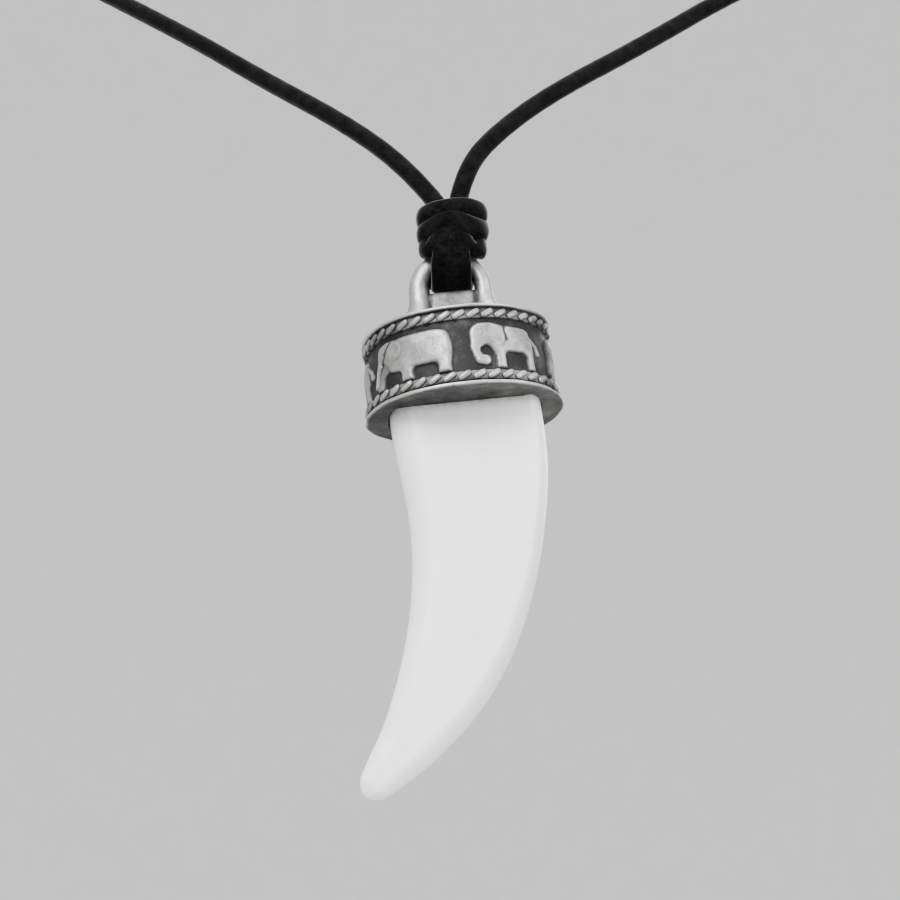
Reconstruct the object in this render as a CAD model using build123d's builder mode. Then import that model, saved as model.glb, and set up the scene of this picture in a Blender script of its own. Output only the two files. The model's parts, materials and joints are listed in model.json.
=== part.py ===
"""Tooth necklace: a curved tooth in a cast cap with an elephant frieze, hung on a waxed cord.

The origin is where the necklace rests on the nape, +Z is up, and the pendant hangs in front, at -Y.
The pendant has its own frame, with its origin on the axis of the bail's top bar.
"""
from build123d import *
import math
import os

os.makedirs("parts", exist_ok=True)

# Cord, in mm
cord_diameter = 1.9
bend_share = 0.45
neck_lead_length = 22.0
cord_seat_clearance = 0.05

# Where the bail's bar hangs below and in front of the nape, and how far the cap leans in the cord
hinge_forward = 134.0
hinge_drop = 102.0
pendant_lean = 6.0

# Cap drum
cap_height = 8.4
cap_top_radius = 9.25
cap_rim_radius = 9.65
crown_drop = 8.1
lip_height = 0.35
groove_height = 0.3
groove_depth = 0.35
rope_height = 0.95
rim_ridge_height = 0.35
field_depth = 0.55
rope_depth = 0.35
relief_overlap = 0.6

# Low dome of the crown, and the web that joins the bail's feet under the cord
crown_dome_rise = 2.3
crown_neck_radius = 5.2
crown_neck_rise = 0.9
web_gap = 0.3
web_half_thickness = 0.8

# Bail
bail_wire_radius = 1.0
bail_arch_radius = 3.2
bail_foot_radius = 1.55
bail_foot_height = 2.2

# Rope borders
rope_strand_count = 40
rope_strand_length = 1.5
rope_strand_width = 0.6
rope_strand_slant = 30.0
rope_strand_proud = 0.28

# Elephants, in the flat before they are laid on the drum
elephant_count = 6
elephant_length = 8.4
elephant_height = 5.0
elephant_proud = 0.5
first_elephant_angle = -124.6

# Tooth
tooth_width = 14.9
tooth_thickness = 8.6
tooth_drop = 37.3
tooth_sweep = 13.5
tooth_root_depth = 5.6
tooth_corner_share = 0.42
socket_clearance = 0.1
socket_end_clearance = 0.25

# Knot and the doubled cord that it leaves through the bail
knot_half_width = 3.7
knot_half_depth = 3.2
knot_offset = 0.4
knot_wrap_pitch = 1.9
knot_foot = 0.75
knot_bar_clearance = 0.3
loop_bar_gap = 0.5
loop_strand_spread = 0.8
loop_offset = 0.25
strand_stub = 3.0

# Nape clasp
clasp_length = 13.0
clasp_radius = 2.5
clasp_collar_length = 1.6
clasp_collar_radius = 1.75
clasp_groove_depth = 0.25
clasp_groove_width = 0.6
clasp_bore_depth = 2.5

cord_radius = cord_diameter / 2
hinge = Vector(0, -hinge_forward, -hinge_drop)
lean = math.radians(pendant_lean)
pendant_plane = Plane(
    origin=hinge,
    x_dir=(math.cos(lean), 0, math.sin(lean)),
    z_dir=(-math.sin(lean), 0, math.cos(lean)),
)
pendant_axis = Axis(hinge, pendant_plane.z_dir)

# Cord route, each strand from the knot to the side of the neck, as offsets from the bail's bar
left_strand_route = [
    (-1.6, 1.5, 7.4),
    (-4.4, 4.0, 12.0),
    (-10.8, 9.7, 19.3),
    (-19.8, 17.8, 27.9),
    (-30.0, 27.0, 38.2),
    (-47.0, 42.3, 53.9),
]
right_strand_route = [
    (1.1, 1.0, 7.2),
    (1.8, 1.6, 10.6),
    (4.5, 4.1, 15.3),
    (10.5, 9.4, 22.4),
    (20.7, 18.6, 32.2),
    (33.0, 29.7, 44.7),
    (47.0, 42.6, 57.3),
]

# The same cord from there round the neck, from the nape's origin, to where it enters the clasp
left_neck_route = [
    (-67.5, -58.0, -22.0),
    (-63.5, -30.0, -11.0),
    (-46.5, -7.0, -3.5),
    (-24.0, clasp_radius, 0.0),
]
right_neck_route = [
    (67.5, -58.0, -20.5),
    (63.5, -30.0, -10.5),
    (46.5, -7.0, -3.5),
    (24.0, clasp_radius, 0.0),
]


def in_pendant(plane):
    """Carry a plane given in the pendant's own frame into the part's frame."""
    return Plane(pendant_plane.location * plane.location)


def bend_radii(points):
    """Radius at each corner of a route, as large as its two runs allow."""
    radii = []
    for before, corner, after in zip(points, points[1:], points[2:]):
        run_in = corner - before
        run_out = after - corner
        half_turn = math.radians(run_in.get_angle(run_out)) / 2
        radii.append(bend_share * min(run_in.length, run_out.length) / math.tan(half_turn))
    return radii


def strand_points(route):
    return [hinge + Vector(*point) for point in route]


def neck_points(strand, route, side):
    """Go on from a strand's last point in line, then round the neck and into the clasp's bore."""
    lead = (strand[-1] - strand[-2]).normalized() * neck_lead_length
    seat = Vector(side * (clasp_length / 2 - clasp_bore_depth), clasp_radius, 0)
    return [strand[-1], strand[-1] + lead] + [Vector(*point) for point in route] + [seat]


def make_cord(name, points):
    """One plain tube of the cord along straight runs and tangent arcs."""
    radii = bend_radii(points)
    print(name, "radii", [round(radius, 1) for radius in radii])
    with BuildPart() as cord:
        with BuildLine() as route:
            FilletPolyline(*points, radius=radii)
        with BuildSketch(Plane(origin=route.line @ 0, z_dir=route.line % 0)):
            Circle(cord_radius)
        sweep(path=route.line)
    cord.part.label = name
    export_step(cord.part, f"parts/{name}.step")
    route_length = sum(edge.length for edge in route.edges())
    print(name, "length", round(route_length, 1))


left_strand = strand_points(left_strand_route)
right_strand = strand_points(right_strand_route)
make_cord("cord_left", left_strand)
make_cord("cord_right", right_strand)
make_cord("neck_cord_left", neck_points(left_strand, left_neck_route, -1))
make_cord("neck_cord_right", neck_points(right_strand, right_neck_route, 1))


# Nape clasp, a plain barrel that both ends of the cord enter
with BuildPart() as nape_clasp:
    with BuildSketch(Plane.XY):
        with BuildLine():
            half = clasp_length / 2
            body_half = half - clasp_collar_length
            groove_half = clasp_groove_width / 2
            Polyline(
                (-half, 0),
                (-half, clasp_collar_radius),
                (-body_half, clasp_radius),
                (-groove_half, clasp_radius),
                (-groove_half, clasp_radius - clasp_groove_depth),
                (groove_half, clasp_radius - clasp_groove_depth),
                (groove_half, clasp_radius),
                (body_half, clasp_radius),
                (half, clasp_collar_radius),
                (half, 0),
                close=True,
            )
        make_face()
    revolve(axis=Axis.X)
    bore_radius = cord_radius + cord_seat_clearance
    for side in (-1, 1):
        with BuildSketch(Plane(origin=(side * half, 0, 0), z_dir=(side, 0, 0))):
            Circle(bore_radius)
        extrude(amount=-clasp_bore_depth - cord_seat_clearance, mode=Mode.SUBTRACT)
clasp_solid = nape_clasp.part.moved(Location((0, clasp_radius, 0)))
clasp_solid.label = "nape_clasp"
export_step(clasp_solid, "parts/nape_clasp.step")


# Tooth: rounded-rectangle sections square to its curved middle line.
# Each row has shares of the drop, the sweep, the width and the thickness.
tooth_sections = [
    # drop, sweep, width, thickness
    (0.000, 0.000, 1.000, 1.00),
    (0.155, -0.018, 0.968, 0.98),
    (0.300, 0.004, 0.886, 0.93),
    (0.445, 0.074, 0.802, 0.87),
    (0.587, 0.195, 0.712, 0.80),
    (0.720, 0.373, 0.592, 0.70),
    (0.844, 0.608, 0.430, 0.57),
    (0.925, 0.812, 0.310, 0.44),
    (0.970, 0.935, 0.215, 0.32),
    (0.993, 0.985, 0.110, 0.17),
]


def tooth_middle(row):
    """Middle of a section in the pendant's frame, from the cap's underside down."""
    drop, sweep_share = tooth_sections[row][:2]
    underside = -crown_drop - cap_height
    return Vector(-sweep_share * tooth_sweep, 0, underside - drop * tooth_drop)


def tooth_plane(row):
    """Plane of a section, square to the middle line, with its normal towards the tip."""
    last = len(tooth_sections) - 1
    if row == 0:
        along = Vector(0, 0, -1)
    else:
        along = (tooth_middle(min(row + 1, last)) - tooth_middle(row - 1)).normalized()
    across = Vector(0, 1, 0).cross(along)
    return in_pendant(Plane(origin=tooth_middle(row), x_dir=across, z_dir=along))


with BuildPart() as tooth:
    for row, (drop, sweep_share, width_share, thickness_share) in enumerate(tooth_sections):
        width = width_share * tooth_width
        thickness = thickness_share * tooth_thickness
        with BuildSketch(tooth_plane(row)):
            RectangleRounded(width, thickness, tooth_corner_share * min(width, thickness))
    loft()
    with BuildSketch(tooth_plane(0)):
        RectangleRounded(tooth_width, tooth_thickness, tooth_corner_share * tooth_thickness)
    extrude(amount=-tooth_root_depth)
tooth.part.label = "tooth"
export_step(tooth.part, "parts/tooth.step")


# Heights on the drum, from the pendant's origin down
drum_top = -crown_drop
drum_bottom = drum_top - cap_height
upper_rope_top = drum_top - lip_height - groove_height
upper_rope_bottom = upper_rope_top - rope_height
lower_rope_bottom = drum_bottom + rim_ridge_height + groove_height
lower_rope_top = lower_rope_bottom + rope_height
field_middle = (upper_rope_bottom + lower_rope_top) / 2


def drum_radius(height):
    """Outer radius of the slightly flared drum at a height."""
    share = (drum_top - height) / cap_height
    return cap_top_radius + share * (cap_rim_radius - cap_top_radius)


def drum_tangent_plane(angle, height):
    """Plane across a radius of the drum, with x along the band and y up."""
    radius_direction = Vector(math.cos(math.radians(angle)), math.sin(math.radians(angle)), 0)
    along_band = Vector(0, 0, 1).cross(radius_direction)
    return in_pendant(Plane(origin=Vector(0, 0, height), x_dir=along_band, z_dir=radius_direction))


def draw_elephant():
    """Flat silhouette of a walking elephant that faces -x, with shares of its length and height."""
    long = elephant_length
    tall = elephant_height
    with Locations((0.14 * long, 0.12 * tall)):
        Ellipse(0.32 * long, 0.33 * tall)
    with Locations((-0.20 * long, 0.14 * tall)):
        Ellipse(0.17 * long, 0.31 * tall)
    with Locations((-0.33 * long, 0.12 * tall)):
        Ellipse(0.12 * long, 0.25 * tall)
    Polygon(
        (-0.45 * long, 0.16 * tall),
        (-0.46 * long, -0.28 * tall),
        (-0.42 * long, -0.46 * tall),
        (-0.31 * long, -0.46 * tall),
        (-0.31 * long, -0.34 * tall),
        (-0.38 * long, -0.26 * tall),
        (-0.36 * long, 0.00 * tall),
        align=None,
    )
    for leg_share in (-0.17, 0.36):
        with Locations((leg_share * long, -0.24 * tall)):
            Rectangle(0.12 * long, 0.50 * tall)
    for leg_share in (-0.04, 0.24):
        with Locations((leg_share * long, -0.20 * tall)):
            Rectangle(0.09 * long, 0.42 * tall)
    with Locations((0.455 * long, 0.02 * tall)):
        Rectangle(0.03 * long, 0.36 * tall)


# Raised elephants, cut to a shell that follows the drum
with BuildPart() as elephants:
    for number in range(elephant_count):
        angle = first_elephant_angle + number * 360 / elephant_count
        with BuildSketch(drum_tangent_plane(angle, field_middle)):
            draw_elephant()
        extrude(amount=cap_rim_radius + 1)
with BuildPart() as relief_shell:
    with BuildSketch(in_pendant(Plane.XZ)):
        with BuildLine():
            relief_outset = elephant_proud - field_depth
            inner = drum_radius(drum_top) - field_depth - relief_overlap
            Polyline(
                (inner, upper_rope_top),
                (drum_radius(upper_rope_top) + relief_outset, upper_rope_top),
                (drum_radius(lower_rope_bottom) + relief_outset, lower_rope_bottom),
                (inner, lower_rope_bottom),
                close=True,
            )
        make_face()
    revolve(axis=pendant_axis)
    add(elephants.part, mode=Mode.INTERSECT)


def bail_point(across, height):
    """Point on the bail's middle plane, given in the pendant's frame."""
    return pendant_plane.from_local_coords(Vector(across, 0, height))


# Cap: drum, crown, web and bail in one casting
web_top = -(bail_wire_radius + loop_bar_gap + cord_diameter + web_gap)
dome_top = drum_top + crown_dome_rise
arch_middle = -bail_arch_radius
with BuildPart() as cap:
    with BuildSketch(in_pendant(Plane.XZ)):
        with BuildLine():
            crown_neck_top = drum_top + crown_neck_rise
            Line((0, dome_top), (0, drum_bottom))
            Line((0, drum_bottom), (cap_rim_radius, drum_bottom))
            field_top_radius = drum_radius(upper_rope_bottom) - field_depth
            field_bottom_radius = drum_radius(lower_rope_top) - field_depth
            Polyline(
                (cap_rim_radius, drum_bottom),
                (cap_rim_radius, drum_bottom + rim_ridge_height),
                (cap_rim_radius - groove_depth, drum_bottom + rim_ridge_height),
                (drum_radius(lower_rope_bottom) - rope_depth, lower_rope_bottom),
                (drum_radius(lower_rope_top) - rope_depth, lower_rope_top),
                (field_bottom_radius, lower_rope_top),
                (field_top_radius, upper_rope_bottom),
                (drum_radius(upper_rope_bottom) - rope_depth, upper_rope_bottom),
                (drum_radius(upper_rope_top) - rope_depth, upper_rope_top),
                (cap_top_radius - groove_depth, drum_top - lip_height),
                (cap_top_radius, drum_top - lip_height),
                (cap_top_radius, drum_top),
                (crown_neck_radius, crown_neck_top),
            )
            Spline(
                (crown_neck_radius, crown_neck_top),
                (0, dome_top),
                tangents=((-1, 0.3), (-1, 0)),
            )
        make_face()
    revolve(axis=pendant_axis)

    # Web between the bail's feet
    with BuildSketch(in_pendant(Plane.XZ)):
        Polygon(
            (-bail_arch_radius, web_top),
            (-bail_arch_radius - bail_wire_radius, drum_top),
            (bail_arch_radius + bail_wire_radius, drum_top),
            (bail_arch_radius, web_top),
            align=None,
        )
    extrude(amount=web_half_thickness, both=True)

    # Bail: round wire up one side, over the arch and down the other
    with BuildLine() as bail_line:
        left_shoulder = bail_point(-bail_arch_radius, arch_middle)
        right_shoulder = bail_point(bail_arch_radius, arch_middle)
        Line(bail_point(-bail_arch_radius, drum_top), left_shoulder)
        ThreePointArc(left_shoulder, hinge, right_shoulder)
        Line(right_shoulder, bail_point(bail_arch_radius, drum_top))
    with BuildSketch(Plane(origin=bail_line.line @ 0, z_dir=bail_line.line % 0)):
        Circle(bail_wire_radius)
    sweep(path=bail_line.line)
    for side in (-1, 1):
        with BuildSketch(in_pendant(Plane(origin=(side * bail_arch_radius, 0, drum_top)))):
            Circle(bail_foot_radius)
        foot_taper = math.degrees(math.atan((bail_foot_radius - bail_wire_radius) / bail_foot_height))
        extrude(amount=bail_foot_height, taper=foot_taper)

    # Rope borders of slanted strands
    for band_top, band_bottom in (
        (upper_rope_top, upper_rope_bottom),
        (lower_rope_top, lower_rope_bottom),
    ):
        band_middle = (band_top + band_bottom) / 2
        strand_radius = drum_radius(band_middle) - rope_depth
        with Locations(in_pendant(Plane.XY.offset(band_middle))):
            with PolarLocations(strand_radius, rope_strand_count):
                Box(
                    2 * rope_strand_proud,
                    rope_strand_length,
                    rope_strand_width,
                    rotation=(rope_strand_slant, 0, 0),
                )

    add(relief_shell.part)

    # Socket for the tooth's root
    with BuildSketch(in_pendant(Plane.XY.offset(drum_bottom))):
        RectangleRounded(
            tooth_width + 2 * socket_clearance,
            tooth_thickness + 2 * socket_clearance,
            tooth_corner_share * tooth_thickness + socket_clearance,
        )
    extrude(amount=tooth_root_depth + socket_end_clearance, mode=Mode.SUBTRACT)
cap.part.label = "cap"
export_step(cap.part, "parts/cap.step")


# Knot: three tilted wraps over the doubled cord.
# Each row has shares of the half width and offset, and the tilt in degrees.
knot_wraps = [
    # width, offset, tilt
    (0.93, 1.0, 14.0),
    (1.00, 1.0, 12.0),
    (0.92, 1.7, 3.0),
]


def make_wrap(row):
    """One flat round-edged wrap of the knot."""
    width_share, offset_share, tilt = knot_wraps[row]
    turn = math.radians(tilt)
    rise = knot_foot + cord_radius + row * knot_wrap_pitch
    middle = hinge + Vector(knot_offset * offset_share, 0, rise)
    wrap_plane = Plane(
        origin=middle,
        x_dir=(math.cos(turn), 0, math.sin(turn)),
        z_dir=(-math.sin(turn), 0, math.cos(turn)),
    )
    with BuildPart() as wrap:
        with BuildSketch(wrap_plane):
            Ellipse(width_share * knot_half_width, knot_half_depth)
        extrude(amount=cord_radius, both=True)
        fillet(wrap.edges().filter_by(GeomType.LINE, reverse=True), 0.9 * cord_radius)
    return wrap.part


wraps = [make_wrap(row) for row in range(len(knot_wraps))]
loop_radius = bail_wire_radius + loop_bar_gap + cord_radius
with BuildPart() as front_knot:
    for wrap in wraps:
        add(wrap)

    # Doubled cord inside the wraps
    core_foot = hinge + Vector(knot_offset, 0, knot_foot + cord_radius)
    with BuildSketch(Plane(origin=core_foot)):
        Circle(cord_diameter)
    extrude(amount=(len(knot_wraps) - 1) * knot_wrap_pitch)

    # Room for the bail's bar under the wraps
    with BuildSketch(in_pendant(Plane.YZ)):
        Circle(bail_wire_radius + knot_bar_clearance)
    extrude(amount=knot_half_width + 1, both=True, mode=Mode.SUBTRACT)

    # Doubled cord round the bar
    for side in (-1, 1):
        strand_middle = hinge + Vector(loop_offset + side * loop_strand_spread, 0, 0)
        strand_top = Vector(0, 0, knot_foot + cord_radius)
        front = Vector(0, -loop_radius, 0)
        with BuildLine() as loop_line:
            Line(strand_middle + front + strand_top, strand_middle + front)
            ThreePointArc(
                strand_middle + front,
                strand_middle - Vector(0, 0, loop_radius),
                strand_middle - front,
            )
            Line(strand_middle - front, strand_middle - front + strand_top)
        with BuildSketch(Plane(origin=loop_line.line @ 0, z_dir=loop_line.line % 0)):
            Circle(cord_radius)
        sweep(path=loop_line.line)

    # Stubs where the two neck strands leave the knot
    for strand in (left_strand, right_strand):
        outwards = (strand[1] - strand[0]).normalized()
        with BuildSketch(Plane(origin=strand[0], z_dir=outwards)):
            Circle(cord_radius)
        extrude(amount=-strand_stub)
front_knot.part.label = "front_knot"
export_step(front_knot.part, "parts/front_knot.step")
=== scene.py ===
"""Looks of a tooth necklace: waxed cord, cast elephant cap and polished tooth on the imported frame.

Sizes are in metres. The pendant is shaped in its own frame, whose origin is on the bail's bar.
"""
import json
import math

import bpy
import numpy as np
from mathutils import Matrix, Vector


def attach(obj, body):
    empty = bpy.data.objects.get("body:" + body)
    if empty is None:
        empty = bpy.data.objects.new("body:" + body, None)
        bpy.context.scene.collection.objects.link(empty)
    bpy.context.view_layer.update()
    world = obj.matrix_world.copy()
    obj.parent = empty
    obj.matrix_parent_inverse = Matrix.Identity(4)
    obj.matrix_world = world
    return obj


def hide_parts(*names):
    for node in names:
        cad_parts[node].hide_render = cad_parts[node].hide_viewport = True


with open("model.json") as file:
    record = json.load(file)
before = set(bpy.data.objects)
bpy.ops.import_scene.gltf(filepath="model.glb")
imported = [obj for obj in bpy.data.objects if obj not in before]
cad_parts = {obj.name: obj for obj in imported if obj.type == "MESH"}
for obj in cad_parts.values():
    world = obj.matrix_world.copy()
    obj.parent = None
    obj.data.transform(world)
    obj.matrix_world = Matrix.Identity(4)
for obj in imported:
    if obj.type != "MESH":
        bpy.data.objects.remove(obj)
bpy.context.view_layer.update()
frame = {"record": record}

MM = 0.001
SAME_PLACE = 0.0001 * MM
SWING = frame["record"]["behaviour"]["joints"][0]
HINGE = Vector(SWING["pos_m"])
LEAN = math.atan2(SWING["axis"][2], SWING["axis"][0])
PENDANT_FRAME = Matrix.Translation(HINGE) @ Matrix.Rotation(-LEAN, 4, "Y")

# Camera: the photo looks up at the pendant, with the bail's bar at this pixel of a 900 px frame
FRAME_PIXELS = 900
BAR_PIXEL = (448, 261)
PIXELS_PER_METRE = 10000
CAMERA_DISTANCE = 0.35
CAMERA_RISE = math.radians(18.5)
SENSOR_WIDTH = 36

# Cord
CORD_RADIUS = 0.95 * MM
CORD_UNEVENNESS = 0.012
CORD_SPACING = 0.5 * MM
CORD_SIDES = 28
NECK_LEAD = 22 * MM
YARNS_AROUND = 9.0
YARNS_PER_METRE = 1250.0

# The strands as offsets from the bail's bar, in millimetres
LEFT_STRAND = [
    (-1.6, 1.5, 7.4),
    (-4.4, 4.0, 12.0),
    (-10.8, 9.7, 19.3),
    (-19.8, 17.8, 27.9),
    (-30.0, 27.0, 38.2),
    (-47.0, 42.3, 53.9),
]
RIGHT_STRAND = [
    (1.1, 1.0, 7.2),
    (1.8, 1.6, 10.6),
    (4.5, 4.1, 15.3),
    (10.5, 9.4, 22.4),
    (20.7, 18.6, 32.2),
    (33.0, 29.7, 44.7),
    (47.0, 42.6, 57.3),
]

# The cord round the neck: place across and from front to back, then the left and the right side's height
NECK = [
    (67.5, -58.0, -22.0, -20.5),
    (63.5, -30.0, -11.0, -10.5),
    (46.5, -7.0, -3.5, -3.5),
    (24.0, 2.5, 0.0, 0.0),
    (4.0, 2.5, 0.0, 0.0),
]


# Shader helpers


class Value:
    """An output of a material's nodes that Python arithmetic works on."""

    def __init__(self, finish, socket):
        self.finish = finish
        self.socket = socket

    def math(self, operation, *others):
        inputs = dict(enumerate((self, *others)))
        return self.finish.node("ShaderNodeMath", {"operation": operation}, inputs)

    def __add__(self, other):
        return self.math("ADD", other)

    def __radd__(self, other):
        return self + other

    def __sub__(self, other):
        return self.math("SUBTRACT", other)

    def __rsub__(self, other):
        return self * -1 + other

    def __mul__(self, other):
        return self.math("MULTIPLY", other)

    def __rmul__(self, other):
        return self * other

    def sine(self):
        return self.math("SINE")

    def clamp(self):
        return self.math("MAXIMUM", 0.0).math("MINIMUM", 1.0)


class Finish:
    """A material and the nodes that shape it."""

    def __init__(self, name):
        self.material = bpy.data.materials.new(name)
        self.material.use_nodes = True
        self.tree = self.material.node_tree
        self.shader = self.tree.nodes["Principled BSDF"]

    def node(self, kind, settings=None, inputs=None, output=0):
        """A new node with its settings made first, then the values or links of its sockets."""
        made = self.tree.nodes.new(kind)
        for key, setting in (settings or {}).items():
            if key == "stops":
                self.set_stops(made.color_ramp, setting)
            else:
                setattr(made, key, setting)
        for key, value in (inputs or {}).items():
            self.plug(made.inputs[key], value)
        return Value(self, made.outputs[output])

    @staticmethod
    def set_stops(ramp, stops):
        while len(ramp.elements) < len(stops):
            ramp.elements.new(1.0)
        for element, (position, shade) in zip(ramp.elements, stops):
            element.position = position
            element.color = (*shade, 1.0)

    def plug(self, socket, value):
        if isinstance(value, Value):
            self.tree.links.new(value.socket, socket)
        else:
            socket.default_value = value

    def surface(self, **sockets):
        """Set the shader's own sockets, with an underscore for each space in their names."""
        for name, value in sockets.items():
            self.plug(self.shader.inputs[name.replace("_", " ")], value)

    def object_place(self):
        return self.node("ShaderNodeTexCoord", output="Object")

    def attribute(self, name):
        """The numbers that set_values gave the piece under this name."""
        return self.node("ShaderNodeAttribute", {"attribute_name": name}, output="Fac")

    def noise(self, place, scale, detail=3.0, roughness=0.55):
        inputs = {"Vector": place, "Scale": scale, "Detail": detail, "Roughness": roughness}
        return self.node("ShaderNodeTexNoise", None, inputs)

    def shades(self, factor, stops):
        return self.node("ShaderNodeValToRGB", {"stops": stops}, {"Fac": factor})

    def blend(self, factor, first, second):
        """Mix of two colours, whose sockets on this node are 6 and 7 in and 2 out."""
        return self.node("ShaderNodeMix", {"data_type": "RGBA"}, {0: factor, 6: first, 7: second}, 2)

    def bump(self, height, depth, strength):
        inputs = {"Height": height, "Distance": depth, "Strength": strength}
        self.surface(Normal=self.node("ShaderNodeBump", None, inputs))


def waxed_cotton():
    """Black waxed cotton: fine crossed yarns under a dull wax, with a nap that catches light at the edges."""
    finish = Finish("waxed_cotton")
    wrap = finish.node("ShaderNodeUVMap", {"uv_map": "wrap"})
    around = finish.node("ShaderNodeSeparateXYZ", None, {0: wrap}, "X")
    along = finish.node("ShaderNodeSeparateXYZ", None, {0: wrap}, "Y")
    turn = 2 * math.pi
    right_yarns = ((around * YARNS_AROUND + along * YARNS_PER_METRE) * turn).sine()
    left_yarns = ((around * YARNS_AROUND - along * YARNS_PER_METRE) * turn).sine()
    yarns = right_yarns.math("MAXIMUM", left_yarns)
    place = finish.object_place()
    wax = finish.noise(place, 700.0, 4.0, 0.6)
    fibres = finish.noise(place, 5200.0, 2.0, 0.7)
    tone = wax * 0.65 + yarns * 0.05 + fibres * 0.30
    black = (0.0012, 0.0012, 0.0012)
    worn = (0.009, 0.009, 0.009)
    finish.surface(
        Base_Color=finish.shades(tone, [(0.35, black), (0.80, worn)]),
        Roughness=(0.38 + wax * 0.30 + fibres * 0.12).clamp(),
        Specular_IOR_Level=0.0,
        Sheen_Weight=0.40,
        Sheen_Roughness=0.28,
    )
    finish.bump(yarns * 0.14 + fibres * 0.35 + wax * 0.8, 0.04 * MM, 0.35)
    return finish.material


def cast_metal():
    """Old white metal: bright where it is rubbed, dark in the tarnished recesses and where shade is painted
    in, with casting grain and pits.
    """
    finish = Finish("cast_metal")
    rubbed = finish.attribute("rubbed")
    place = finish.object_place()
    grain = finish.noise(place, 3200.0, 4.0, 0.6)
    clouds = finish.noise(place, 620.0, 4.0, 0.65)
    patches = finish.noise(place, 210.0, 3.0, 0.6)
    pits = (finish.noise(place, 1500.0, 3.0, 0.7) - 0.60).math("MAXIMUM", 0.0) * 5.0
    mottle = (clouds - 0.5) * 0.70 + (grain - 0.5) * 0.26 + (patches - 0.5) * 0.50
    # Wear and painted shade together set the metal's colour, metalness and roughness
    wear_and_shade = (rubbed + mottle - pits * 0.30).clamp()
    dark = (0.012, 0.012, 0.012)
    dull = (0.060, 0.060, 0.059)
    plain = (0.23, 0.23, 0.227)
    bright = (0.50, 0.50, 0.493)
    finish.surface(
        Base_Color=finish.shades(wear_and_shade, [(0.0, dark), (0.28, dull), (0.60, plain), (1.0, bright)]),
        Metallic=(wear_and_shade * 0.45 + 0.45).clamp(),
        Roughness=(0.60 - wear_and_shade * 0.22 + (grain - 0.5) * 0.20).clamp(),
        Specular_IOR_Level=0.25,
    )
    finish.bump(grain * 0.45 + clouds - pits * 0.6, 0.09 * MM, 0.6)
    return finish.material


def polished_bone():
    """Off-white bone: faint long growth lines and clouds under a soft polish, darkened just below the socket
    by grime and painted shade from the cap.
    """
    finish = Finish("polished_bone")
    place = finish.object_place()
    stretched = finish.node("ShaderNodeMapping", None, {"Vector": place, "Scale": (1.0, 1.0, 0.10)})
    grain = finish.noise(stretched, 900.0, 4.0, 0.55)
    clouds = finish.noise(place, 120.0, 3.0, 0.6)
    specks = finish.noise(stretched, 3800.0, 2.0, 0.6)
    tone = grain * 0.45 + clouds * 0.40 + specks * 0.15
    deep = (0.80, 0.797, 0.785)
    plain = (0.87, 0.868, 0.86)
    pale = (0.91, 0.91, 0.905)
    bone = finish.shades(tone, [(0.30, deep), (0.50, plain), (0.72, pale)])
    mottle = finish.noise(place, 1600.0, 4.0, 0.65)
    # Grime and painted shade from the cap: the tooth is blended towards grey just below the socket
    grime = (finish.attribute("grime") * (0.2 + mottle * 1.6)).clamp()
    finish.surface(
        Base_Color=finish.blend(grime, bone, (0.30, 0.30, 0.295, 1.0)),
        Roughness=(0.30 + clouds * 0.14 + specks * 0.08).clamp(),
        Subsurface_Weight=0.15,
        Subsurface_Radius=(1.0, 0.9, 0.8),
        Subsurface_Scale=1.0 * MM,
        Coat_Weight=0.15,
        Coat_Roughness=0.2,
    )
    finish.bump(grain * 0.6 + specks * 0.4, 0.03 * MM, 0.35)
    return finish.material


def clasp_metal():
    """Satin white metal, lathe-turned and a little scuffed."""
    finish = Finish("clasp_metal")
    place = finish.object_place()
    turned = finish.node("ShaderNodeMapping", None, {"Vector": place, "Scale": (1.0, 0.06, 0.06)})
    lines = finish.noise(turned, 6000.0, 2.0, 0.5)
    scuffs = finish.noise(place, 700.0, 4.0, 0.65)
    finish.surface(
        Base_Color=finish.shades(scuffs, [(0.3, (0.36, 0.36, 0.355)), (0.6, (0.50, 0.50, 0.495))]),
        Metallic=1.0,
        Roughness=(0.24 + scuffs * 0.16 + lines * 0.08).clamp(),
    )
    finish.bump(lines, 0.03 * MM, 0.5)
    return finish.material


def studio_paper():
    """Pale seamless paper with a very faint tooth."""
    finish = Finish("studio_paper")
    place = finish.object_place()
    fibre = finish.noise(place, 60.0, 3.0)
    finish.surface(
        Base_Color=finish.shades(fibre, [(0.3, (0.62, 0.62, 0.615)), (0.7, (0.65, 0.65, 0.645))]),
        Roughness=0.9,
    )
    return finish.material


# Mesh helpers


def put_in_scene(name, data):
    """A new object at the origin that shows this mesh, curve, camera or light."""
    thing = bpy.data.objects.new(name, data)
    bpy.context.scene.collection.objects.link(thing)
    return thing


def finished_mesh(holder):
    """A plain mesh of what an object's curve or modifiers make. The holder is removed."""
    bpy.context.view_layer.update()
    mesh = bpy.data.meshes.new_from_object(holder.evaluated_get(bpy.context.evaluated_depsgraph_get()))
    bpy.data.objects.remove(holder)
    return mesh


def new_piece(name, points, faces, uvs=None):
    """A smooth-shaded mesh object at the origin."""
    mesh = bpy.data.meshes.new(name)
    mesh.from_pydata([tuple(point) for point in points], [], [tuple(face) for face in faces])
    if uvs is not None:
        layer = mesh.uv_layers.new(name="wrap")
        layer.data.foreach_set("uv", np.asarray(uvs, dtype=np.float32).ravel())
    mesh.shade_smooth()
    mesh.update()
    return put_in_scene(name, mesh)


def ring_faces(rows, columns):
    """Quads between rows of points that close round on themselves."""
    row, column = np.meshgrid(np.arange(rows - 1), np.arange(columns), indexing="ij")
    here = row * columns + column
    beside = row * columns + (column + 1) % columns
    corners = (here, beside, beside + columns, here + columns)
    return np.stack([corner.ravel() for corner in corners], axis=1)


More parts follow.
